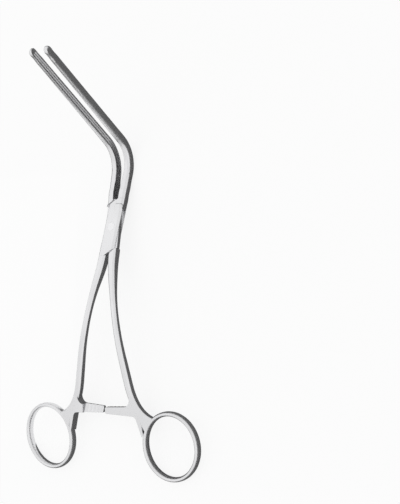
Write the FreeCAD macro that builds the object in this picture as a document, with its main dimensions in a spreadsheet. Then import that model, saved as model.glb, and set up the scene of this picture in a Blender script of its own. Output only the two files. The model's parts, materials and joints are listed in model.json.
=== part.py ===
"""Angled vascular clamp with a box lock, two finger rings and a ratchet.

Everything is drawn closed in the box frame: X is the opening direction, Y runs along the box
towards the jaws, Z is square to the box faces, and the pin's axis is Z through the origin.
The three pieces are then opened and laid on their backs, with +Y from the rings to the jaws.
Places along a half are given by run, the distance along its middle line from the pin.
"""
import FreeCAD, Part
import math
import os
import Sketcher
from FreeCAD import Placement, Rotation, Vector

SIZES = [
    # Middle line in side view
    ("neck_run", 32.0),
    ("jaw_bend_radius", 17.8),
    ("jaw_bend_angle", 70.5),
    ("jaw_run", 75.0),
    ("shank_run", 32.1),
    ("shank_bend_radius", 117.0),
    ("shank_bend_angle", 20.9),
    # Box, slot and pin
    ("box_width", 10.0),
    ("box_thickness", 5.6),
    ("box_bevel", 1.2),
    ("cheek_side", 12.4),
    ("cheek_end", 17.0),
    ("slot_thickness", 2.5),
    ("tenon_radius", 12.0),
    ("side_clearance", 0.05),
    ("end_clearance", 0.15),
    ("shoulder_clearance", 0.2),
    ("blend_inset", 0.05),
    ("pin_radius", 2.0),
    ("pin_head_radius", 2.5),
    ("pin_head_height", 0.6),
    ("pin_clearance", 0.03),
    # Jaws
    ("jaw_thickness_base", 3.85),
    ("jaw_thickness_tip", 2.1),
    ("jaw_height_base", 4.8),
    ("jaw_height_tip", 4.4),
    ("jaw_round", 1.5),
    ("jaw_edge", 0.35),
    ("neck_height", 5.2),
    ("jaw_gap", 0.06),
    ("jaw_bow", 0.75),
    ("nose_share", 0.35),
    ("throat_depth", 0.9),
    ("throat_start", 16.0),
    ("throat_end", 31.0),
    ("throat_taper", 5.4),
    ("strip_width", 3.3),
    ("strip_depth", 0.3),
    ("strip_tip_margin", 2.7),
    ("groove_width", 0.36),
    ("groove_depth", 0.55),
    # Shanks
    ("splay_angle", 8.4),
    ("splay_radius", 71.5),
    ("splay_corner", 22.0),
    ("shank_offset", 2.5),
    ("foot_corner", 102.6),
    ("foot_radius", 37.0),
    ("foot_angle", 47.0),
    ("shank_width_top", 4.9),
    ("shank_width_waist", 3.5),
    ("shank_width_low", 3.9),
    ("waist_run", 48.0),
    ("low_run", 92.0),
    ("shank_depth", 3.7),
    ("shank_bevel", 0.95),
    ("foot_width", 10.0),
    ("foot_depth", 4.6),
    # Finger rings
    ("ring_half_width", 17.0),
    ("ring_half_height", 18.0),
    ("ring_lean", 13.3),
    ("ring_wall", 2.6),
    ("ring_depth", 5.0),
    # Ratchet bars
    ("bar_reach", 4.6),
    ("bar_top", 101.2),
    ("bar_height", 3.6),
    ("bar_fillet", 4.0),
    ("bar_end_round", 0.9),
    ("bar_land", 0.6),
    ("heel_across", 3.4),
    ("heel_below", 1.8),
    ("heel_radius", 3.0),
    ("web_across", 6.2),
    ("web_below", 13.0),
    ("bar_clearance", 0.2),
    ("tooth_pitch", 2.6),
    ("tooth_count", 5),
    ("tooth_depth", 1.0),
    ("tooth_length", 2.3),
    # Opening between the halves as the clamp lies
    ("opening_angle", 6.9),
]

# Two places nearer than this are one
NEAR = 0.01
# Bulge of a bevel between its ends: 0 is flat and 0.41 a quarter round
FLAT_CROWN = 0.12
ROUND_CROWN = 0.41
# Largest bevel, as a share of the side that it is on
MOST_BEVEL = 0.46
# Where necks and shanks start inside the box, as a share of the cheek
ROOT_SHARE = 0.75
# Longest steps between the sections of the lofts, and parts of the shank's two arcs
NECK_STEP = 5.0
BEND_STEP = 2.6
JAW_STEP = 6.0
SHANK_STEP = 7.0
SPLAY_PARTS = 3
FOOT_PARTS = 9
NOSE_ANGLES = (20, 40, 58, 73, 84)
LOFT_DEGREE = 5
# Search for the lying turn: step along the backs, limit and error in degrees
SEARCH_STEP = 0.5
MOST_TURN = 45.0
TURN_ERROR = 1e-6
ACROSS = Vector(1, 0, 0)

doc = FreeCAD.newDocument("vascular_clamp")
sheet = doc.addObject("Spreadsheet::Sheet", "sizes")
for row, (alias, value) in enumerate(SIZES, start=1):
    sheet.set("A%d" % row, alias)
    sheet.set("B%d" % row, str(value))
    sheet.setAlias("B%d" % row, alias)
doc.recompute()


def size(alias):
    return float(sheet.get(alias))


def worked_out(expression):
    """Present value of an expression on the sheet's aliases."""
    value = sheet.evalExpression(expression.replace("sizes.", ""))
    return float(getattr(value, "Value", value))


# Helpers that make objects of the document

def bind(item, **expressions):
    """Bind properties to the sheet; x, y and z stand for the place of the object."""
    places = {"x": "Placement.Base.x", "y": "Placement.Base.y", "z": "Placement.Base.z"}
    for name, expression in expressions.items():
        item.setExpression(places.get(name, name), expression)
    return item


def primitive(kind, name, **expressions):
    return bind(doc.addObject("Part::" + kind, name), **expressions)


def join(kind, name, pieces):
    """Part::MultiFuse or Part::MultiCommon of several objects."""
    item = doc.addObject("Part::" + kind, name)
    item.Shapes = pieces
    return item


def cut(name, base, tool):
    item = doc.addObject("Part::Cut", name)
    item.Base = base
    item.Tool = tool
    return item


def mirrored(name, source):
    """Copy of the object on the other side of the plane x = 0."""
    item = doc.addObject("Part::Mirroring", name)
    item.Source = source
    item.Normal = ACROSS
    return item


def shaped(name, shape):
    item = doc.addObject("Part::Feature", name)
    item.Shape = shape
    return item


def forged(name, pieces):
    """Union of the blanks of one half; the lofts and the ring meet in smooth surfaces."""
    doc.recompute()
    return shaped(name, pieces[0].Shape.fuse([piece.Shape for piece in pieces[1:]]))


def outline_body(name, points, length):
    """Pad both ways from z = 0 of a polygon whose corners are pairs of expressions."""
    body = doc.addObject("PartDesign::Body", name)
    sketch = body.newObject("Sketcher::SketchObject", name + "_outline")
    plane = [f for f in body.Origin.OriginFeatures if f.Role == "XY_Plane"][0]
    sketch.AttachmentSupport = (plane, [""])
    sketch.MapMode = "FlatFace"
    doc.recompute()
    corners = [Vector(worked_out(x), worked_out(y), 0) for x, y in points]
    count = len(corners)
    for i in range(count):
        sketch.addGeometry(Part.LineSegment(corners[i], corners[(i + 1) % count]), False)
    for i in range(count):
        sketch.addConstraint(Sketcher.Constraint("Coincident", i, 2, (i + 1) % count, 1))
    for i, (x, y) in enumerate(points):
        hold(sketch, "DistanceX", i, x, corners[i].x)
        hold(sketch, "DistanceY", i, y, corners[i].y)
    pad = body.newObject("PartDesign::Pad", name + "_pad")
    pad.Profile = sketch
    pad.Midplane = True
    pad.setExpression("Length", length)
    doc.recompute()
    return body


def hold(sketch, kind, line, expression, place):
    """Dimension from the sketch's origin to the start of a line, kept positive."""
    ends = (-1, 1, line, 1) if place >= 0 else (line, 1, -1, 1)
    index = sketch.addConstraint(Sketcher.Constraint(kind, *ends, abs(place)))
    signed = expression if place >= 0 else "-(" + expression + ")"
    sketch.setExpression("Constraints[%d]" % index, signed)


def dress(body, kind, name, chosen, **expressions):
    """Fillet or chamfer on the edges of the body's last feature that chosen accepts."""
    base = body.Tip
    names = ["Edge%d" % (i + 1) for i, edge in enumerate(base.Shape.Edges) if chosen(edge)]
    item = body.newObject("PartDesign::" + kind, name)
    item.Base = (base, names)
    bind(item, **expressions)
    doc.recompute()
    return item


def upright_at(*spots):
    """Test for the edges that stand on the sketch plane at the spots, pairs of x and y."""
    def stands(edge, spot):
        return all(math.hypot(v.X - spot[0], v.Y - spot[1]) < NEAR for v in edge.Vertexes)

    def chosen(edge):
        return any(stands(edge, spot) for spot in spots)
    return chosen


# Middle line in side view

def bend(run, straight, radius, angle):
    """Distance along, rise and slope in radians after a straight run, an arc and a straight run."""
    arc = radius * math.radians(angle)
    swept = min(max(run - straight, 0.0), arc) / radius
    rest = max(run - straight - arc, 0.0)
    along = min(run, straight) + radius * math.sin(swept) + rest * math.cos(swept)
    rise = radius * (1.0 - math.cos(swept)) + rest * math.sin(swept)
    return along, rise, swept


def jaw_frame(run):
    """Place and side-view normal of the middle line at run towards the tip."""
    y, z, slope = bend(run, size("neck_run"), size("jaw_bend_radius"), size("jaw_bend_angle"))
    return Vector(0, y, z), Vector(0, -math.sin(slope), math.cos(slope))


def shank_frame(run):
    """Place and side-view normal of the middle line at run towards the ring."""
    y, z, slope = bend(run, size("shank_run"), size("shank_bend_radius"), size("shank_bend_angle"))
    return Vector(0, -y, -z), Vector(0, -math.sin(slope), math.cos(slope))


def bend_end():
    return size("neck_run") + size("jaw_bend_radius") * math.radians(size("jaw_bend_angle"))


def ease(run, start, end, first, last):
    """Value that goes smoothly from first at start to last at end."""
    share = min(max((run - start) / (end - start), 0.0), 1.0)
    return first + (last - first) * 0.5 * (1.0 - math.cos(math.pi * share))


def steps(start, end, longest):
    """Evenly spaced values from start to end, no further apart than longest."""
    count = max(1, math.ceil(abs(end - start) / longest))
    return [start + (end - start) * i / count for i in range(count + 1)]


# Bevelled sections and the lofts through them

def bevelled_wire(place, across, normal, inner, outer, height, bevels, crown):
    """Closed section from inner to outer across and height along the normal.

    bevels are the inner and the outer bevel, and crown is how far they bulge:
    0 is flat and 0.41 is a quarter round.
    """
    half = height / 2.0
    most = MOST_BEVEL * min(height, outer - inner)
    inside, outside = (min(b, most) for b in bevels)
    turns = [
        ((outer, half), (0, -outside), (-outside, 0)),
        ((inner, half), (inside, 0), (0, -inside)),
        ((inner, -half), (0, inside), (inside, 0)),
        ((outer, -half), (-outside, 0), (0, outside)),
    ]
    arcs = []
    for corner, first, last in turns:
        tip = place + across * corner[0] + normal * corner[1]
        start = tip + across * first[0] + normal * first[1]
        end = tip + across * last[0] + normal * last[1]
        middle = (start + end) * 0.5
        arcs.append((start, middle + (tip - middle) * crown, end))
    edges = []
    for i, arc in enumerate(arcs):
        edges.append(Part.Arc(*arc).toShape())
        edges.append(Part.makeLine(arc[2], arcs[(i + 1) % 4][0]))
    return Part.Wire(edges)


def jaw_thickness(run):
    """Thickness of the neck and jaw across, from the closing plane to the outside."""
    neck = size("neck_run")
    if run < neck:
        root = size("box_width") / 2.0 - size("blend_inset")
        return ease(run, size("cheek_end"), neck, root, size("jaw_thickness_base"))
    share = (run - neck) / (bend_end() + size("jaw_run") - neck)
    return size("jaw_thickness_base") + (size("jaw_thickness_tip") - size("jaw_thickness_base")) * share


def jaw_height(run):
    """Height of the neck and jaw in side view."""
    if run < size("neck_run"):
        box = size("box_thickness") - 2.0 * size("blend_inset")
        return ease(run, size("cheek_end"), size("neck_run"), box, size("neck_height"))
    if run < bend_end():
        return ease(run, size("neck_run"), bend_end(), size("neck_height"), size("jaw_height_base"))
    share = (run - bend_end()) / size("jaw_run")
    return size("jaw_height_base") + (size("jaw_height_tip") - size("jaw_height_base")) * share


def jaw_inner(run):
    """Distance of a jaw's inner face from the closing plane; only the tips meet there."""
    touching, bow = size("jaw_gap") / 2.0, size("jaw_bow")
    if run < bend_end():
        return touching + ease(run, size("cheek_end"), size("neck_run"), 0.0, bow)
    share = min((run - bend_end()) / size("jaw_run"), 1.0)
    return touching + bow * (1.0 - share)


def jaw_section(run, left=1.0):
    """Section of the neck or jaw, left being how much of its height is left at the nose."""
    place, normal = jaw_frame(run)
    inner, nose = jaw_inner(run), size("nose_share")
    outer = inner + (jaw_thickness(run) - size("jaw_gap") / 2.0) * (nose + (1.0 - nose) * left)
    outside = ease(run, size("neck_run"), bend_end(), size("box_bevel"), size("jaw_round"))
    crown = ease(run, size("cheek_end"), bend_end(), FLAT_CROWN, ROUND_CROWN)
    bevels, height = (size("jaw_edge"), outside), jaw_height(run) * left
    return bevelled_wire(place, ACROSS, normal, inner, outer, height, bevels, crown)


def blank_root():
    """Run inside the box where necks and shanks start."""
    return ROOT_SHARE * size("cheek_side")


def jaw_blank():
    """Neck and jaw on the +X side, from inside the box to the rounded nose."""
    nose = size("jaw_height_tip") / 2.0
    last = bend_end() + size("jaw_run") - nose
    runs = steps(blank_root(), size("neck_run"), NECK_STEP)
    runs += steps(size("neck_run"), bend_end(), BEND_STEP)[1:] + steps(bend_end(), last, JAW_STEP)[1:]
    sections = [jaw_section(run) for run in runs]
    for angle in NOSE_ANGLES:
        turn = math.radians(angle)
        sections.append(jaw_section(last + nose * math.sin(turn), math.cos(turn)))
    return Part.makeLoft(sections, True, False, False, LOFT_DEGREE)


def shank_line():
    """Stations of the shank's middle line from the front: x, run and lean in radians."""
    splay, lean = math.radians(size("splay_angle")), math.radians(size("foot_angle"))
    first, second = size("splay_radius"), size("foot_radius")
    begin = size("splay_corner") - first * math.tan(splay / 2.0)
    stations = [(size("shank_offset"), run, 0.0) for run in steps(blank_root(), begin, BEND_STEP)]
    for angle in steps(0.0, splay, splay / SPLAY_PARTS)[1:]:
        x = size("shank_offset") + first * (1.0 - math.cos(angle))
        stations.append((x, begin + first * math.sin(angle), angle))
    start_x, start_run = stations[-1][:2]
    foot_run = size("foot_corner") - second * math.tan((lean - splay) / 2.0) * math.cos(splay)
    for run in steps(start_run, foot_run, SHANK_STEP)[1:]:
        stations.append((start_x + (run - start_run) * math.tan(splay), run, splay))
    foot_x = stations[-1][0]
    for angle in steps(splay, lean, (lean - splay) / FOOT_PARTS)[1:]:
        x = foot_x + second * (math.cos(splay) - math.cos(angle))
        stations.append((x, foot_run + second * (math.sin(angle) - math.sin(splay)), angle))
    return stations


def shank_width(run, left):
    """Width of the shank, left being the distance to its foot."""
    waist = size("waist_run")
    width = ease(run, size("cheek_side"), waist, size("shank_width_top"), size("shank_width_waist"))
    width = ease(run, waist, size("low_run"), width, size("shank_width_low"))
    flare = max(1.0 - left / (2.0 * size("foot_width")), 0.0)
    return width + (size("foot_width") - size("shank_width_low")) * flare ** 3


def shank_depth(run):
    """Depth of the shank in side view, the foot's own from the top of the ratchet bar down."""
    box = size("box_thickness") - 2.0 * size("blend_inset")
    depth = ease(run, size("cheek_side"), size("waist_run"), box, size("shank_depth"))
    web_run = size("bar_top") - 2.0 * size("bar_fillet")
    return ease(run, size("waist_run"), web_run, depth, size("foot_depth"))


def shank_blank():
    """Shank on the +X side, from inside the box to its foot inside the ring's wall."""
    stations = shank_line()
    foot_x, foot_run = stations[-1][:2]
    sections = []
    for x, run, lean in stations:
        place, normal = shank_frame(run)
        across = ACROSS * math.cos(lean) + normal.cross(ACROSS) * math.sin(lean)
        left = math.hypot(foot_x - x, foot_run - run)
        half = shank_width(run, left) / 2.0
        bevels = (size("shank_bevel"), size("shank_bevel"))
        centre = place + ACROSS * x
        depth = shank_depth(run)
        sections.append(bevelled_wire(centre, across, normal, -half, half, depth, bevels, FLAT_CROWN))
    return Part.makeLoft(sections, True, False, False, LOFT_DEGREE)


# Pieces drawn in the plane of the rings

def handle_frame():
    """Placement of that plane: X across, Y minus the run, Z towards the front."""
    run = size("shank_run") + size("shank_bend_radius") * math.radians(size("shank_bend_angle"))
    place, normal = shank_frame(run)
    along = normal.cross(ACROSS)
    return Placement(place + along * run, Rotation(ACROSS, size("shank_bend_angle")))


def oval(centre, first, second):
    """Closed oval edge whose half axes are the two vectors."""
    major, minor = (first, second) if first.Length >= second.Length else (second, first)
    return Part.Ellipse(centre + major, centre + minor, centre).toShape()


def ring_axes():
    """Half axes of the ring's middle line in the plane of the rings."""
    tilt = math.radians(size("ring_lean"))
    upright = Vector(math.sin(tilt), math.cos(tilt), 0) * size("ring_half_height")
    sideways = Vector(math.cos(tilt), -math.sin(tilt), 0) * size("ring_half_width")
    return upright, sideways


def ring_centre():
    """Centre of the ring at +X, so placed that the shank's foot ends on its middle line."""
    x, run, lean = shank_line()[-1]
    upright, sideways = ring_axes()
    inward = Vector(math.sin(lean), -math.cos(lean), 0)
    shares = (inward.dot(sideways) / sideways.Length ** 2, inward.dot(upright) / upright.Length ** 2)
    return Vector(x, -run, 0) + inward / math.hypot(*shares)


def ring_blank():
    """Finger ring on the +X side: an oval wire bent round a leaning oval."""
    upright, sideways = ring_axes()
    centre = ring_centre()
    path = oval(centre, upright, sideways)
    wall = sideways / sideways.Length * (size("ring_wall") / 2.0)
    section = oval(centre + sideways, wall, Vector(0, 0, size("ring_depth") / 2.0))
    return Part.Wire([path]).makePipeShell([Part.Wire([section])], True, False)


def bar_blank():
    """Ratchet bar of the +X side and the web that joins it to the shank, the foot and the ring."""
    middle = "sizes.shank_offset + tan(sizes.splay_angle * 1deg) * (sizes.foot_corner - sizes.splay_corner)"
    inside = middle + " - sizes.shank_width_low / 2"
    bottom = "-sizes.bar_top - sizes.bar_height"
    points = [
        ("-sizes.bar_reach", "-sizes.bar_top"),
        ("-sizes.bar_reach", bottom),
        (inside + " + sizes.heel_across", bottom + " - sizes.heel_below"),
        (inside + " + sizes.web_across", bottom + " - sizes.web_below"),
        (inside + " + sizes.web_across + sizes.ring_wall / 2", bottom + " - sizes.web_below"),
        (inside + " + sizes.web_across", bottom),
        (inside + " + sizes.shank_bevel", "-sizes.bar_top + 2 * sizes.bar_fillet"),
        (inside, "-sizes.bar_top"),
    ]
    body = outline_body("bar", points, "sizes.foot_depth - 2 * sizes.blend_inset")
    corners = [(worked_out(x), worked_out(y)) for x, y in points]
    dress(body, "Fillet", "bar_root", upright_at(corners[7]), Radius="sizes.bar_fillet")
    dress(body, "Fillet", "bar_heel", upright_at(corners[2]), Radius="sizes.heel_radius")
    dress(body, "Fillet", "bar_end", upright_at(*corners[:2]), Radius="sizes.bar_end_round")
    return body


def ratchet_middle():
    """Middle of the ratchet: where the two bars face each other when closed."""
    return handle_frame().multVec(Vector(0, -size("bar_top") - size("bar_height") / 2.0, 0))


def ratchet_divider(name, low, high, side):
    """Slab square to the pin that trims the toothed length of the bar that roots on that side.

    low and high are its z, measured from the middle, and side is 1 for +X and -1 for -X.
    """
    span, middle = size("ring_half_width"), ratchet_middle()
    root = size("tooth_pitch") * size("tooth_count") - size("bar_reach") + size("bar_land")
    start = -span if side > 0 else -root
    corner = Vector(start, middle.y - span, middle.z + low)
    return shaped(name, Part.makeBox(span + root, 2.0 * span, high - low, corner))


def ratchet_notches(name, turn):
    """Sawtooth cutters for one bar on its face towards the other, turned about the middle."""
    middle = ratchet_middle()
    pitch, deep = size("tooth_pitch"), size("tooth_depth")
    depth = size("ring_depth")
    prisms = []
    for i in range(int(size("tooth_count"))):
        x = pitch * i + size("bar_end_round") - size("bar_reach")
        corners = [Vector(x, 0, -deep), Vector(x + size("tooth_length"), 0, 0), Vector(x, 0, deep)]
        face = Part.Face(Part.makePolygon(corners + corners[:1]))
        face.translate(middle + Vector(0, -depth, size("bar_clearance") / 2.0))
        prisms.append(face.extrude(Vector(0, 2.0 * depth, 0)))
    notches = Part.makeCompound(prisms)
    notches.rotate(middle, Vector(0, 1, 0), turn)
    return shaped(name, notches)


# Box, tenon and pin

def box_block():
    """Box of the piece whose jaw is at +X, with bevelled long edges."""
    points = [
        ("-sizes.box_width / 2", "-sizes.cheek_end"),
        ("-sizes.throat_depth", "-sizes.cheek_end"),
        ("sizes.box_width / 2", "-sizes.cheek_side"),
        ("sizes.box_width / 2", "sizes.cheek_end"),
        ("sizes.throat_depth", "sizes.cheek_end"),
        ("-sizes.box_width / 2", "sizes.cheek_side"),
    ]
    body = outline_body("box_block", points, "sizes.box_thickness")

    def on_long_side(edge):
        side = all(abs(abs(v.X) - size("box_width") / 2.0) < NEAR for v in edge.Vertexes)
        return side and edge.Length > size("cheek_side")

    dress(body, "Chamfer", "box_bevel", on_long_side, Size="sizes.box_bevel")
    return body


def slot_cutter():
    """Room for the tenon between the cheeks: a disc and the two ways out of it."""
    thick = {"Height": "sizes.slot_thickness", "z": "-sizes.slot_thickness / 2"}
    disc = primitive("Cylinder", "slot_disc", Radius="sizes.tenon_radius + sizes.end_clearance", **thick)
    upper = primitive(
        "Box", "slot_upper", Length="sizes.box_width + sizes.end_clearance / 2",
        Width="sizes.cheek_end + 1", x="-sizes.box_width", **thick)
    lower = primitive(
        "Box", "slot_lower", Length="sizes.box_width + sizes.end_clearance / 2",
        Width="sizes.cheek_end + 1", x="-sizes.end_clearance / 2", y="-sizes.cheek_end - 1", **thick)
    return join("MultiFuse", "slot", [disc, upper, lower])


def tenon():
    """Thin middle of the other piece: a disc cut to the box's width, and a neck at each end."""
    height = "(sizes.slot_thickness - 2 * sizes.side_clearance)"
    half = "(sizes.box_width / 2 - 2 * sizes.blend_inset)"
    thick = {"Height": height, "z": "-" + height + " / 2"}
    disc = primitive("Cylinder", "tenon_disc", Radius="sizes.tenon_radius", **thick)
    strip = primitive(
        "Box", "tenon_strip", Length="2 * " + half, Width="2 * sizes.cheek_end",
        x="-" + half, y="-sizes.cheek_end", **thick)
    neck = half + " - sizes.end_clearance / 2"
    upper = primitive("Box", "tenon_upper", Length=neck, Width="sizes.cheek_end", x="-" + half, **thick)
    lower = primitive(
        "Box", "tenon_lower", Length=neck, Width="sizes.cheek_end",
        x="sizes.end_clearance / 2", y="-sizes.cheek_end", **thick)
    waist = join("MultiCommon", "tenon_waist", [disc, strip])
    return join("MultiFuse", "tenon", [waist, upper, lower])


def shoulder_cutter():
    """Band between the tenon piece's two shoulders, which run along the ends of the cheeks."""
    rise = "(sizes.cheek_end - sizes.cheek_side)"
    reach = "(sizes.box_width / 2 + sizes.throat_depth)"
    side = "(sizes.cheek_side + sizes.shoulder_clearance)"
    points = [
        ("-sizes.box_width / 2 - " + reach, side + " - " + rise),
        ("-sizes.throat_depth - " + reach, "-" + side + " - 2 * " + rise),
        ("sizes.box_width / 2 + " + reach, "-" + side + " + " + rise),
        ("sizes.throat_depth + " + reach, side + " + 2 * " + rise),
    ]
    return outline_body("shoulders", points, "2 * sizes.box_thickness")


def pin_shape(name):
    """Pin with its heads spread into the cheeks and ground flush."""
    shaft = primitive(
        "Cylinder", name + "_shaft", Radius="sizes.pin_radius", Height="sizes.box_thickness",
        z="-sizes.box_thickness / 2")
    head = {"Height": "sizes.pin_head_height"}
    front = primitive(
        "Cone", name + "_front", Radius1="sizes.pin_radius", Radius2="sizes.pin_head_radius",
        z="sizes.box_thickness / 2 - sizes.pin_head_height", **head)
    back = primitive(
        "Cone", name + "_back", Radius1="sizes.pin_head_radius", Radius2="sizes.pin_radius",
        z="-sizes.box_thickness / 2", **head)
    return join("MultiFuse", name, [shaft, front, back])


# Relief of the necks and the jaws' working faces

def throat_cutter():
    """Open space between the necks above the box, round at the box and tapering to the jaws."""
    points = [
        ("-sizes.throat_depth", "sizes.throat_start + sizes.throat_depth"),
        ("sizes.throat_depth", "sizes.throat_start + sizes.throat_depth"),
        ("sizes.throat_depth", "sizes.throat_end - sizes.throat_taper"),
        ("0", "sizes.throat_end"),
        ("-sizes.throat_depth", "sizes.throat_end - sizes.throat_taper"),
    ]
    body = outline_body("throat_long", points, "2 * sizes.box_thickness")
    end = primitive(
        "Cylinder", "throat_round", Radius="sizes.throat_depth", Height="2 * sizes.box_thickness",
        y="sizes.throat_start + sizes.throat_depth", z="-sizes.box_thickness")
    return join("MultiFuse", "throat", [body, end])


def face_section(run, offsets):
    """Section of the sunk strip at run: a deep groove along each side and at each of the offsets."""
    place, normal = jaw_frame(run)
    inner, half, groove = jaw_inner(run), size("strip_width") / 2.0, size("groove_width")
    floor, deep = inner + size("strip_depth"), inner + size("groove_depth")
    clear = -size("jaw_thickness_tip")
    corners = [(clear, -half), (deep, -half), (deep, groove - half), (floor, groove - half)]
    for off in offsets:
        low, high = off - groove / 2.0, off + groove / 2.0
        corners += [(floor, low), (deep, low), (deep, high), (floor, high)]
    corners += [(floor, half - groove), (deep, half - groove), (deep, half), (clear, half)]
    points = [place + ACROSS * x + normal * z for x, z in corners]
    return Part.makePolygon(points + points[:1])


def face_cutter(name, offsets):
    """Sunk strip of the jaw at +X, with grooves along its sides and at the offsets given."""
    start, end = size("throat_end"), bend_end() + size("jaw_run") - size("strip_tip_margin")
    runs = [start] + steps(size("neck_run"), bend_end(), BEND_STEP) + [end]
    return shaped(name, Part.makeLoft([face_section(run, offsets) for run in runs], True, True))


# The three pieces

def box_half(parts, throat):
    """Piece with the box: jaw at +X, shank, bar and ring at -X."""
    gap, depth = size("bar_clearance") / 2.0, 4.0 * size("ring_depth")
    divider = ratchet_divider("box_divider", -gap, depth, -1)
    bar = cut("box_bar_trimmed", mirrored("box_bar", parts["bar"]), divider)
    bar = cut("box_bar_toothed", bar, ratchet_notches("box_notches", 180.0))
    shank, ring = mirrored("box_shank", parts["shank"]), mirrored("box_ring", parts["ring"])
    forging = forged("box_forging", [box_block(), parts["jaw"], shank, ring, bar])
    tools = join("MultiFuse", "box_tools", [slot_cutter(), pin_shape("pin_bore"), throat])
    opened = cut("box_opened", forging, tools)
    return cut("box_finished", opened, face_cutter("box_face", []))


def tenon_half(parts, throat):
    """Piece with the tenon: jaw at -X, shank, bar and ring at +X."""
    gap, depth = size("bar_clearance") / 2.0, 4.0 * size("ring_depth")
    divider = ratchet_divider("tenon_divider", -depth, gap, 1)
    bar = cut("tenon_bar_trimmed", parts["bar"], divider)
    bar = cut("tenon_bar_toothed", bar, ratchet_notches("tenon_notches", 0.0))
    jaw = mirrored("tenon_jaw", parts["jaw"])
    forging = forged("tenon_forging", [jaw, parts["shank"], parts["ring"], bar])
    tools = join("MultiFuse", "tenon_tools", [shoulder_cutter(), throat])
    whole = join("MultiFuse", "tenon_whole", [cut("tenon_thinned", forging, tools), tenon()])
    bore = primitive(
        "Cylinder", "tenon_bore", Radius="sizes.pin_radius + sizes.pin_clearance",
        Height="sizes.box_thickness", z="-sizes.box_thickness / 2")
    face = face_cutter("tenon_face_plain", [0.0])
    return cut("tenon_finished", cut("tenon_drilled", whole, bore), mirrored("tenon_face", face))


def lying_turn(turned):
    """Turn about X that lays the opened clamp on its rings' backs and on the backs of its bends.

    turned is the opening turn of one half; the other half mirrors it.
    """
    backs = []
    for run in steps(size("neck_run"), bend_end(), SEARCH_STEP):
        place, normal = jaw_frame(run)
        backs.append(place - normal * (jaw_height(run) / 2.0))
    ring_backs = []
    frame, centre = handle_frame(), ring_centre()
    upright, sideways = ring_axes()
    for angle in steps(0.0, 2.0 * math.pi, SEARCH_STEP / size("ring_half_width")):
        rim = centre + upright * math.cos(angle) + sideways * math.sin(angle)
        ring_backs.append(frame.multVec(rim - Vector(0, 0, size("ring_depth") / 2.0)))
    backs = [turned.multVec(p) for p in backs]
    ring_backs = [turned.inverted().multVec(p) for p in ring_backs]
    low, high = -MOST_TURN, MOST_TURN
    while high - low > TURN_ERROR:
        middle = (low + high) / 2.0
        turn = Rotation(ACROSS, middle)
        if min(turn.multVec(p).z for p in backs) > min(turn.multVec(p).z for p in ring_backs):
            high = middle
        else:
            low = middle
    return Rotation(ACROSS, low)


def lay_down(pieces):
    """Open the halves, lay them on a table and centre the whole over the origin."""
    half_angle = size("opening_angle") / 2.0
    turns = [Rotation(Vector(0, 0, 1), half_angle * sense) for sense in (-1, 1, -1)]
    lying = lying_turn(turns[0])
    box = FreeCAD.BoundBox()
    for piece, turn in zip(pieces, turns):
        shape = piece.Shape.copy()
        shape.Placement = Placement(Vector(), lying.multiply(turn))
        box.add(shape.optimalBoundingBox(False, False))
    base = Vector(-box.Center.x, -box.Center.y, -box.ZMin)
    for piece, turn in zip(pieces, turns):
        piece.Placement = Placement(base, lying.multiply(turn))
    print("pin at", base, "axis", lying.multVec(Vector(0, 0, 1)))


def check(pieces):
    """Stop if any object failed or a piece isn't one valid solid the right way out."""
    for item in doc.Objects:
        if {"Invalid", "Error"} & set(item.State):
            raise RuntimeError("%s failed: %s" % (item.Name, item.State))
    for piece in pieces:
        if piece.Shape.isNull() or not piece.Shape.isValid() or len(piece.Shape.Solids) != 1:
            raise RuntimeError("%s isn't one valid solid" % piece.Label)
        if piece.Shape.Volume <= 0.0:
            raise RuntimeError("%s is inside out" % piece.Label)


def main():
    parts = {"jaw": shaped("jaw", jaw_blank()), "shank": shaped("shank", shank_blank())}
    parts["ring"] = shaped("ring", ring_blank())
    parts["bar"] = bar_blank()
    for name in ("ring", "bar"):
        parts[name].Placement = handle_frame()
    throat = throat_cutter()
    pieces = [box_half(parts, throat), tenon_half(parts, throat), pin_shape("pin")]
    for piece, label in zip(pieces, ("box_half", "tenon_half", "joint_pin")):
        piece.Label = label
    doc.recompute()
    lay_down(pieces)
    doc.recompute()
    check(pieces)
    os.makedirs("parts", exist_ok=True)
    for piece in pieces:
        piece.Shape.exportStep(os.path.join("parts", piece.Label + ".step"))
        print(piece.Label, round(piece.Shape.Volume, 1), piece.Shape.BoundBox)


main()
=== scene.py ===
"""Looks of the angled vascular clamp: satin steel forgings, toothed jaw faces, studio and camera."""
import json
import logging
import math
from dataclasses import dataclass
from enum import Enum

import bmesh
import bpy
from mathutils import Matrix, Vector


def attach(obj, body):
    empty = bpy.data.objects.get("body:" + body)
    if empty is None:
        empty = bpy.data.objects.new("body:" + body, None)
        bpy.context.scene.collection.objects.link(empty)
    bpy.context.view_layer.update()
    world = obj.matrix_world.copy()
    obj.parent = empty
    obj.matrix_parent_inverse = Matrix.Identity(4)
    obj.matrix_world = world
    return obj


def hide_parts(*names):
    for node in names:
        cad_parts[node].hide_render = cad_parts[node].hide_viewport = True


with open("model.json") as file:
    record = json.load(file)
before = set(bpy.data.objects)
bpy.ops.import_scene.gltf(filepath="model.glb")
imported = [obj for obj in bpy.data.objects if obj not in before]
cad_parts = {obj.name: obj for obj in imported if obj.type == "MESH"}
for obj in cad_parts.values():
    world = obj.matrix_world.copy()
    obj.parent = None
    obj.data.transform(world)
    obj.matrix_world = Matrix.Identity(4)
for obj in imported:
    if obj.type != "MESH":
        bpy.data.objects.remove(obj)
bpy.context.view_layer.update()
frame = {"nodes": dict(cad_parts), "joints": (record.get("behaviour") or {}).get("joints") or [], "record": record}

LOG = logging.getLogger("clamp")
MM = 0.001
HINGE = frame["joints"][0]
WELD_REACH = 0.002 * MM

# Sockets of a Mix node that mixes colours.
MIX_SHARE = 0
MIX_FIRST = 6
MIX_SECOND = 7
MIX_RESULT = 2


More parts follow.
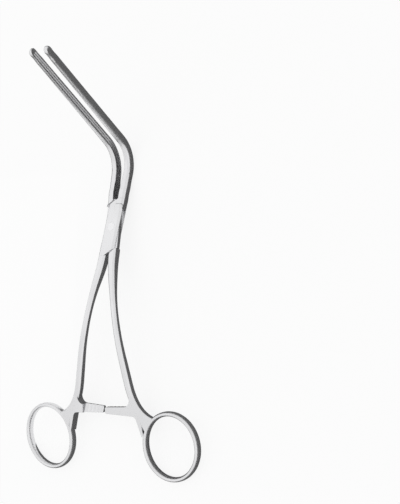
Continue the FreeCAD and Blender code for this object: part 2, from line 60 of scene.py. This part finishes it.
class Half(Enum):
    """The two forgings: CAD node, body, and the side of its jaw."""

    BOX = ("box_half", "box_body", 1.0)
    TENON = ("tenon_half", "tenon_body", -1.0)

    @property
    def node(self) -> str:
        """Name of the CAD node."""
        return self.value[0]

    @property
    def body(self) -> str:
        """Name of the CAD body."""
        return self.value[1]

    @property
    def side(self) -> float:
        """1 where the jaw is at +X, -1 where it is at -X."""
        return self.value[2]

    @property
    def slot(self) -> str:
        """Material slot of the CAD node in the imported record."""
        subparts = frame["record"]["subparts"]
        return next(part["material_slot"] for part in subparts if part["node"] == self.node)


class Level:
    """A shader value whose arithmetic adds Math nodes."""

    def __init__(self, shader: "Shader", socket: bpy.types.NodeSocket) -> None:
        """Wrap an output socket.

        Args:
            shader: the node tree that the socket is in.
            socket: the output socket.
        """
        self.shader = shader
        self.socket = socket

    def _math(self, operation: str, *values: "float | Level") -> "Level":
        """Add a Math node for the operation on the values."""
        return self.shader.node("ShaderNodeMath", {"operation": operation}, dict(enumerate(values)))

    def __add__(self, other: "float | Level") -> "Level":
        """Sum of the two values."""
        return self._math("ADD", self, other)

    def __radd__(self, other: float) -> "Level":
        """Sum with a plain number first."""
        return self._math("ADD", other, self)

    def __sub__(self, other: "float | Level") -> "Level":
        """Difference of the two values."""
        return self._math("SUBTRACT", self, other)

    def __rsub__(self, other: float) -> "Level":
        """A plain number less this value."""
        return self._math("SUBTRACT", other, self)

    def __mul__(self, other: "float | Level") -> "Level":
        """Product of the two values."""
        return self._math("MULTIPLY", self, other)

    def __rmul__(self, other: float) -> "Level":
        """Product with a plain number first."""
        return self._math("MULTIPLY", other, self)

    def larger(self, other: "float | Level") -> "Level":
        """The larger of the two values."""
        return self._math("MAXIMUM", self, other)


class Shader:
    """Node tree of a material or world, built one node at a time."""

    def __init__(self, owner: "bpy.types.Material | bpy.types.World") -> None:
        """Start an empty tree.

        Args:
            owner: the material or world that gets the nodes.
        """
        owner.use_nodes = True
        self.tree = owner.node_tree
        self.tree.nodes.clear()

    def node(self, kind: str, settings: dict[str, object], inputs: dict[object, object],
             output: "int | str" = 0) -> Level:
        """Add a node.

        Args:
            kind: the node's type.
            settings: its properties, and "stops" for a ramp's stops.
            inputs: values or links for its sockets, by name or index.
            output: the output socket that is wanted.

        Returns:
            The wrapped output socket.
        """
        item = self.tree.nodes.new(kind)
        for name, value in settings.items():
            if name == "stops":
                self._set_stops(item.color_ramp, value)
            else:
                setattr(item, name, value)
        for key, value in inputs.items():
            if isinstance(value, Level):
                self.tree.links.new(value.socket, item.inputs[key])
            else:
                item.inputs[key].default_value = value
        return Level(self, item.outputs[output])

    @staticmethod
    def _set_stops(ramp: bpy.types.ColorRamp, stops: list[tuple[float, float]]) -> None:
        """Give a new ramp its stops.

        Args:
            ramp: the ramp, which has two stops.
            stops: place and grey level of each stop.
        """
        for index, (place, level) in enumerate(stops):
            stop = ramp.elements[index] if index < 2 else ramp.elements.new(place)
            stop.position = place
            stop.color = (level, level, level, 1.0)

    def end(self, kind: str, surface: Level) -> None:
        """Add the output node and link the surface to it."""
        item = self.tree.nodes.new(kind)
        self.tree.links.new(surface.socket, item.inputs["Surface"])


@dataclass(frozen=True)
class SatinSteel:
    """Stainless steel, ground along its length and polished to a satin sheen.

    The scales are in marks per metre, the grain's height and the edge's radius in metres.
    """

    name: str
    colour: tuple[float, float, float]
    roughness: float
    grain_height: float
    edge_radius: float
    edge_samples: int = 4
    grain_scale: float = 5200.0
    grain_stretch: float = 0.045
    grain_detail: float = 3.0
    grain_gloss: float = 0.10
    grain_strength: float = 0.5
    fleck_scale: float = 16000.0
    fleck_detail: float = 1.0
    fleck_share: float = 0.3
    cloud_scale: float = 55.0
    cloud_detail: float = 4.0
    cloud_start: float = 0.3
    cloud_full: float = 0.72
    cloud_tone: float = 0.93
    cloud_gloss: float = 0.07

    def build(self) -> bpy.types.Material:
        """Make the material.

        Returns:
            The new material.
        """
        material = bpy.data.materials.new(self.name)
        shader = Shader(material)
        spot = shader.node("ShaderNodeTexCoord", {}, {}, "Object")
        stretch = (1.0, self.grain_stretch, self.grain_stretch)
        along = shader.node("ShaderNodeMapping", {}, {"Vector": spot, "Scale": stretch})
        grain = self._noise(shader, along, self.grain_scale, self.grain_detail)
        fleck = self._noise(shader, spot, self.fleck_scale, self.fleck_detail)
        cloud = self._noise(shader, spot, self.cloud_scale, self.cloud_detail)
        stops = [(self.cloud_start, 0.0), (self.cloud_full, 1.0)]
        share = shader.node("ShaderNodeValToRGB", {"stops": stops}, {"Fac": cloud})
        dark = tuple(self.cloud_tone * level for level in self.colour)
        tones = {MIX_SHARE: share, MIX_FIRST: (*dark, 1.0), MIX_SECOND: (*self.colour, 1.0)}
        colour = shader.node("ShaderNodeMix", {"data_type": "RGBA"}, tones, MIX_RESULT)
        roughness = self.roughness + self.grain_gloss * (grain - 0.5) + self.cloud_gloss * (cloud - 0.5)
        height = (1.0 - self.fleck_share) * grain + self.fleck_share * fleck
        rounded = shader.node("ShaderNodeBevel", {"samples": self.edge_samples}, {"Radius": self.edge_radius})
        normal = shader.node("ShaderNodeBump", {}, {
            "Strength": self.grain_strength, "Distance": self.grain_height,
            "Height": height, "Normal": rounded})
        surface = shader.node("ShaderNodeBsdfPrincipled", {}, {
            "Base Color": colour, "Metallic": 1.0, "Roughness": roughness, "Normal": normal})
        shader.end("ShaderNodeOutputMaterial", surface)
        return material

    @staticmethod
    def _noise(shader: Shader, spot: Level, scale: float, detail: float) -> Level:
        """Add a noise pattern with that many marks per metre."""
        return shader.node("ShaderNodeTexNoise", {}, {"Vector": spot, "Scale": scale, "Detail": detail})


FORGED = SatinSteel("satin_steel", (0.74, 0.74, 0.75), 0.27, 0.00002, 0.00025)
# Darker copy of the satin steel for the sunk toothed strip: its lower colour is painted shade among the fine
# teeth.
TOOTHED_SHADED = SatinSteel("toothed_steel_painted_shade", (0.62, 0.62, 0.63), 0.34, 0.00001, 0.00004)
PINNED = SatinSteel("pin_steel", (0.78, 0.78, 0.79), 0.24, 0.00001, 0.00010)


def add_object(name: str, data: bpy.types.ID) -> bpy.types.Object:
    """Add an object to the scene, at the origin.

    Args:
        name: name of the object.
        data: its mesh, light or camera.

    Returns:
        The new object.
    """
    item = bpy.data.objects.new(name, data)
    bpy.context.scene.collection.objects.link(item)
    return item


def add_mesh(bm: bmesh.types.BMesh, name: str, finish: bpy.types.Material) -> bpy.types.Object:
    """Turn a bmesh into an object.

    Args:
        bm: the finished shape, in the row frame.
        name: name of the object and its mesh.
        finish: its material.

    Returns:
        The new object.
    """
    mesh = bpy.data.meshes.new(name)
    bm.to_mesh(mesh)
    bm.free()
    mesh.materials.append(finish)
    return add_object(name, mesh)


@dataclass
class BoxFrame:
    """The closed box's own frame: origin at the pin, Z along the pin, Y towards the jaws."""

    pin: Vector
    axis: Vector
    half_opening: float

    @classmethod
    def from_hinge(cls) -> "BoxFrame":
        """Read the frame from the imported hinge."""
        closed = math.radians(HINGE["range_deg"][0])
        return cls(Vector(HINGE["pos_m"]), Vector(HINGE["axis"]).normalized(), -closed / 2.0)

    def matrix(self, half: Half) -> Matrix:
        """Place one half's closed shapes where they are at rest.

        Args:
            half: the half that the shapes are on.

        Returns:
            The matrix from the closed box frame to the row frame.
        """
        across = Vector((1.0, 0.0, 0.0))
        along = self.axis.cross(across).normalized()
        lying = Matrix((across, along, self.axis)).transposed().to_4x4()
        turn = Matrix.Rotation(-half.side * self.half_opening, 4, "Z")
        return Matrix.Translation(self.pin) @ lying @ turn


@dataclass
class JawLine:
    """Middle line and bowed inner face of a jaw, by its run from the pin. Lengths are in metres."""

    cheek_end: float = 17.0 * MM
    neck_run: float = 32.0 * MM
    bend_radius: float = 17.8 * MM
    bend_angle: float = math.radians(70.5)
    jaw_run: float = 75.0 * MM
    bow: float = 0.75 * MM

    @property
    def bend_arc(self) -> float:
        """Length of the middle line around the bend."""
        return self.bend_radius * self.bend_angle

    def bowed(self, run: float) -> float:
        """Find how far the inner face lies from the closing plane.

        Args:
            run: distance from the pin along the line.

        Returns:
            The distance.
        """
        bend_end = self.neck_run + self.bend_arc
        if run > bend_end:
            return self.bow * (1.0 - min((run - bend_end) / self.jaw_run, 1.0))
        share = min(max((run - self.cheek_end) / (self.neck_run - self.cheek_end), 0.0), 1.0)
        return self.bow * 0.5 * (1.0 - math.cos(math.pi * share))

    def at(self, run: float, off: float) -> Vector:
        """Point of the closing plane at run, off to the front of the middle line.

        Args:
            run: distance from the pin along the line.
            off: distance square to the line, towards the front.

        Returns:
            The point in the closed box frame, with x = 0.
        """
        swept = min(max(run - self.neck_run, 0.0), self.bend_arc) / self.bend_radius
        rest = max(run - self.neck_run - self.bend_arc, 0.0)
        along = min(run, self.neck_run) + self.bend_radius * math.sin(swept) + rest * math.cos(swept)
        rise = self.bend_radius * (1.0 - math.cos(swept)) + rest * math.sin(swept)
        return Vector((0.0, along - off * math.sin(swept), rise + off * math.cos(swept)))


@dataclass
class ToothRow:
    """One row of fine cross teeth in the sunk strip of a jaw. Lengths are in metres.

    Low and high are the row's edges, square to the jaw's middle line. Crest and valley are measured
    from the jaw's inner face, and the depth is that of the row's back below its teeth.
    """

    half: Half
    name: str
    low: float
    high: float
    first_run: float = 31.7 * MM
    last_run: float = 125.9 * MM
    pitch: float = 0.54 * MM
    crest: float = 0.035 * MM
    valley: float = 0.24 * MM
    depth: float = 0.40 * MM

    def build(self, box: BoxFrame, line: JawLine, finish: bpy.types.Material) -> bpy.types.Object:
        """Make the row as one mesh that rides on its half.

        Args:
            box: the closed box frame.
            line: the jaw's middle line.
            finish: the material.

        Returns:
            The new object.
        """
        teeth = round((self.last_run - self.first_run) / self.pitch)
        bm = bmesh.new()
        bmesh.ops.create_grid(bm, x_segments=2 * teeth, y_segments=1, size=1.0)
        self._fold(bm, line, teeth)
        sunk = bmesh.ops.extrude_face_region(bm, geom=bm.faces, use_keep_orig=True)
        lower = [vert for vert in sunk["geom"] if isinstance(vert, bmesh.types.BMVert)]
        bmesh.ops.translate(bm, vec=(self.depth, 0.0, 0.0), verts=lower)
        if self.half.side < 0:
            bmesh.ops.scale(bm, vec=(-1.0, 1.0, 1.0), verts=bm.verts)
        bmesh.ops.recalc_face_normals(bm, faces=bm.faces)
        bmesh.ops.transform(bm, matrix=box.matrix(self.half), verts=bm.verts)
        row = add_mesh(bm, self.name, finish)
        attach(row, self.half.body)
        self.half.slot
        LOG.info("%s: %d faces", row.name, len(row.data.polygons))
        return row

    def _fold(self, bm: bmesh.types.BMesh, line: JawLine, teeth: int) -> None:
        """Lay the flat grid along the jaw and raise every second column into a tooth's crest.

        Args:
            bm: the grid, 2 by 2 and with two columns to a tooth.
            line: the jaw's middle line.
            teeth: number of teeth in the row.
        """
        middle = (self.low + self.high) / 2.0
        reach = (self.high - self.low) / 2.0
        for vert in bm.verts:
            column = round((vert.co.x + 1.0) * teeth)
            run = self.first_run + (self.last_run - self.first_run) * column / (2.0 * teeth)
            point = line.at(run, middle + reach * vert.co.y)
            point.x = line.bowed(run) + (self.crest if column % 2 else self.valley)
            vert.co = point


@dataclass
class Jaw:
    """Toothed face of one jaw: one wide row, or two with a groove between. Lengths are in metres."""

    half: Half
    grooved: bool
    reach: float = 1.29 * MM
    groove_reach: float = 0.18 * MM

    def build(self, box: BoxFrame, line: JawLine, finish: bpy.types.Material) -> None:
        """Make every row of the jaw.

        Args:
            box: the closed box frame.
            line: the jaws' middle line.
            finish: the material.
        """
        rows = [(-self.reach, self.reach)]
        if self.grooved:
            rows = [(-self.reach, -self.groove_reach), (self.groove_reach, self.reach)]
        for index, (low, high) in enumerate(rows, start=1):
            name = "%s_teeth_%d" % (self.half.name.lower(), index)
            ToothRow(self.half, name, low, high).build(box, line, finish)


@dataclass
class Forging:
    """One half of the clamp, carried over from its CAD node with welded, smoothly shaded faces.

    Two faces keep a sharp edge where they turn by more than the sharp angle, in radians.
    """

    half: Half
    sharp_angle: float = math.radians(28.0)

    def build(self, finish: bpy.types.Material) -> bpy.types.Object:
        """Make the shaded copy that stands for the node.

        Args:
            finish: the material.

        Returns:
            The new object.
        """
        piece = add_mesh(self._welded(), self.half.node + "_satin", finish)
        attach(piece, self.half.body)
        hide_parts(self.half.node)
        self.half.slot
        LOG.info("%s: %d faces", piece.name, len(piece.data.polygons))
        return piece

    def _welded(self) -> bmesh.types.BMesh:
        """Copy the node's mesh with its corners merged and its sharp edges marked.

        Returns:
            The new bmesh.
        """
        bm = bmesh.new()
        bm.from_mesh(frame["nodes"][self.half.node].data)
        bmesh.ops.remove_doubles(bm, verts=bm.verts, dist=WELD_REACH)
        for face in bm.faces:
            face.smooth = True
        for edge in bm.edges:
            edge.smooth = edge.calc_face_angle(math.pi) < self.sharp_angle
        return bm


@dataclass
class JointPin:
    """The pin through the box, shown as its own CAD node."""

    node: str = "joint_pin"

    def build(self, finish: bpy.types.Material) -> bpy.types.Object:
        """Give the node its finish.

        Args:
            finish: the material.

        Returns:
            The node's object.
        """
        pin = frame["nodes"][self.node]
        pin.data.materials.clear()
        pin.data.materials.append(finish)
        LOG.info("%s: %d faces", pin.name, len(pin.data.polygons))
        return pin


@dataclass(frozen=True)
class FlatSheet:
    """Level rectangle of the studio between two corners. Lengths are in metres."""

    name: str
    low: tuple[float, float, float]
    high: tuple[float, float, float]

    def build(self, finish: bpy.types.Material) -> bpy.types.Object:
        """Make the sheet.

        Args:
            finish: the material.

        Returns:
            The new object.
        """
        low = Vector(self.low)
        high = Vector(self.high)
        bm = bmesh.new()
        bmesh.ops.create_grid(bm, x_segments=1, y_segments=1, size=0.5)
        bmesh.ops.scale(bm, vec=(high.x - low.x, high.y - low.y, 1.0), verts=bm.verts)
        bmesh.ops.translate(bm, vec=(low + high) / 2.0, verts=bm.verts)
        return add_mesh(bm, self.name, finish)


@dataclass(frozen=True)
class SoftLamp:
    """Square lamp that is turned to the object. The size is in metres and the power in watts."""

    name: str
    spot: tuple[float, float, float]
    power: float
    size: float = 0.9

    def build(self) -> None:
        """Add the lamp to the scene."""
        light = bpy.data.lights.new(self.name, "AREA")
        light.shape = "SQUARE"
        light.size = self.size
        light.energy = self.power
        lamp = add_object(self.name, light)
        lamp.location = self.spot
        lamp.rotation_euler = Vector(self.spot).to_track_quat("Z", "Y").to_euler()


@dataclass(frozen=True)
class FrontCamera:
    """Camera at the photograph's viewing angle. Lengths are in metres, the lens's in millimetres."""

    aim: tuple[float, float, float] = (0.0541, 0.0108, 0.0)
    azimuth: float = math.radians(81.98)
    elevation: float = math.radians(54.40)
    roll: float = math.radians(-81.60)
    distance: float = 0.6203
    clip_start: float = 0.01
    lens_mm: float = 81.58
    sensor_mm: float = 36.0

    def build(self) -> None:
        """Add the camera to the scene and look through it."""
        back = Vector((
            math.sin(self.azimuth) * math.cos(self.elevation),
            -math.cos(self.azimuth) * math.cos(self.elevation),
            math.sin(self.elevation)))
        right = Vector((math.cos(self.azimuth), math.sin(self.azimuth), 0.0))
        up = back.cross(right)
        turned = Matrix.Rotation(self.roll, 3, back)
        axes = Matrix((turned @ right, turned @ up, back)).transposed().to_4x4()
        data = bpy.data.cameras.new("camera")
        data.lens = self.lens_mm
        data.sensor_width = self.sensor_mm
        data.clip_start = self.clip_start
        camera = add_object("camera", data)
        camera.matrix_world = Matrix.Translation(Vector(self.aim) + back * self.distance) @ axes
        bpy.context.scene.camera = camera


@dataclass
class Studio:
    """Table, sky, reflecting card, lamps and camera."""

    table: FlatSheet = FlatSheet("table", (-3.0, -3.0, 0.0), (3.0, 3.0, 0.0))
    table_colour: float = 0.22
    table_roughness: float = 0.9
    table_sheen: float = 0.1
    table_lift: float = 0.83
    sky_level: float = 0.60
    card: FlatSheet = FlatSheet("bounce_card", (-0.170, -0.100, 0.0005), (-0.035, 0.060, 0.0005))
    card_level: float = 1.0
    key_lamp: SoftLamp = SoftLamp("key_lamp", (-0.55, 0.25, 0.75), 0.30)
    fill_lamp: SoftLamp = SoftLamp("fill_lamp", (0.75, -0.35, 0.65), 0.25)
    camera: FrontCamera = FrontCamera()

    def build(self) -> None:
        """Make everything around the clamp, in order."""
        self._lay_table()
        self._light_sky()
        self._lay_card()
        self.key_lamp.build()
        self.fill_lamp.build()
        self.camera.build()

    def _lay_table(self) -> None:
        """Lay the grey matt table, lifted to near white for the camera while it keeps the shadow."""
        material = bpy.data.materials.new("table_white")
        shader = Shader(material)
        seen = shader.node("ShaderNodeLightPath", {}, {}, "Is Camera Ray")
        grey = (self.table_colour, self.table_colour, self.table_colour, 1.0)
        surface = shader.node("ShaderNodeBsdfPrincipled", {}, {
            "Base Color": grey, "Roughness": self.table_roughness, "Specular IOR Level": self.table_sheen,
            "Emission Color": (1.0, 1.0, 1.0, 1.0), "Emission Strength": self.table_lift * seen})
        shader.end("ShaderNodeOutputMaterial", surface)
        self.table.build(material)

    def _light_sky(self) -> None:
        """Make an even sky for the light, and white where the camera or the steel sees it."""
        world = bpy.data.worlds.new("studio")
        bpy.context.scene.world = world
        shader = Shader(world)
        camera = shader.node("ShaderNodeLightPath", {}, {}, "Is Camera Ray")
        glossy = shader.node("ShaderNodeLightPath", {}, {}, "Is Glossy Ray")
        strength = self.sky_level + (1.0 - self.sky_level) * camera.larger(glossy)
        sky = shader.node("ShaderNodeBackground", {}, {"Color": (1.0, 1.0, 1.0, 1.0), "Strength": strength})
        shader.end("ShaderNodeOutputWorld", sky)

    def _lay_card(self) -> None:
        """Lay the white card beside the shanks. Only the steel sees it, which brightens the jaws' fronts."""
        material = bpy.data.materials.new("card_white")
        shader = Shader(material)
        glow = shader.node("ShaderNodeEmission", {}, {"Strength": self.card_level})
        shader.end("ShaderNodeOutputMaterial", glow)
        card = self.card.build(material)
        card.visible_camera = False
        card.visible_diffuse = False
        card.visible_shadow = False


def main() -> None:
    """Build the clamp's looks and the studio, in order."""
    logging.basicConfig(level=logging.INFO, format="%(name)s %(message)s")
    bpy.context.scene.view_settings.view_transform = "Standard"
    forged = FORGED.build()
    # The toothed steel's darker colour is painted shade on the jaw strips.
    toothed = TOOTHED_SHADED.build()
    pinned = PINNED.build()
    box = BoxFrame.from_hinge()
    line = JawLine()
    for half in Half:
        Forging(half).build(forged)
    Jaw(Half.BOX, grooved=False).build(box, line, toothed)
    Jaw(Half.TENON, grooved=True).build(box, line, toothed)
    JointPin().build(pinned)
    Studio().build()


if __name__ == "__main__":
    main()
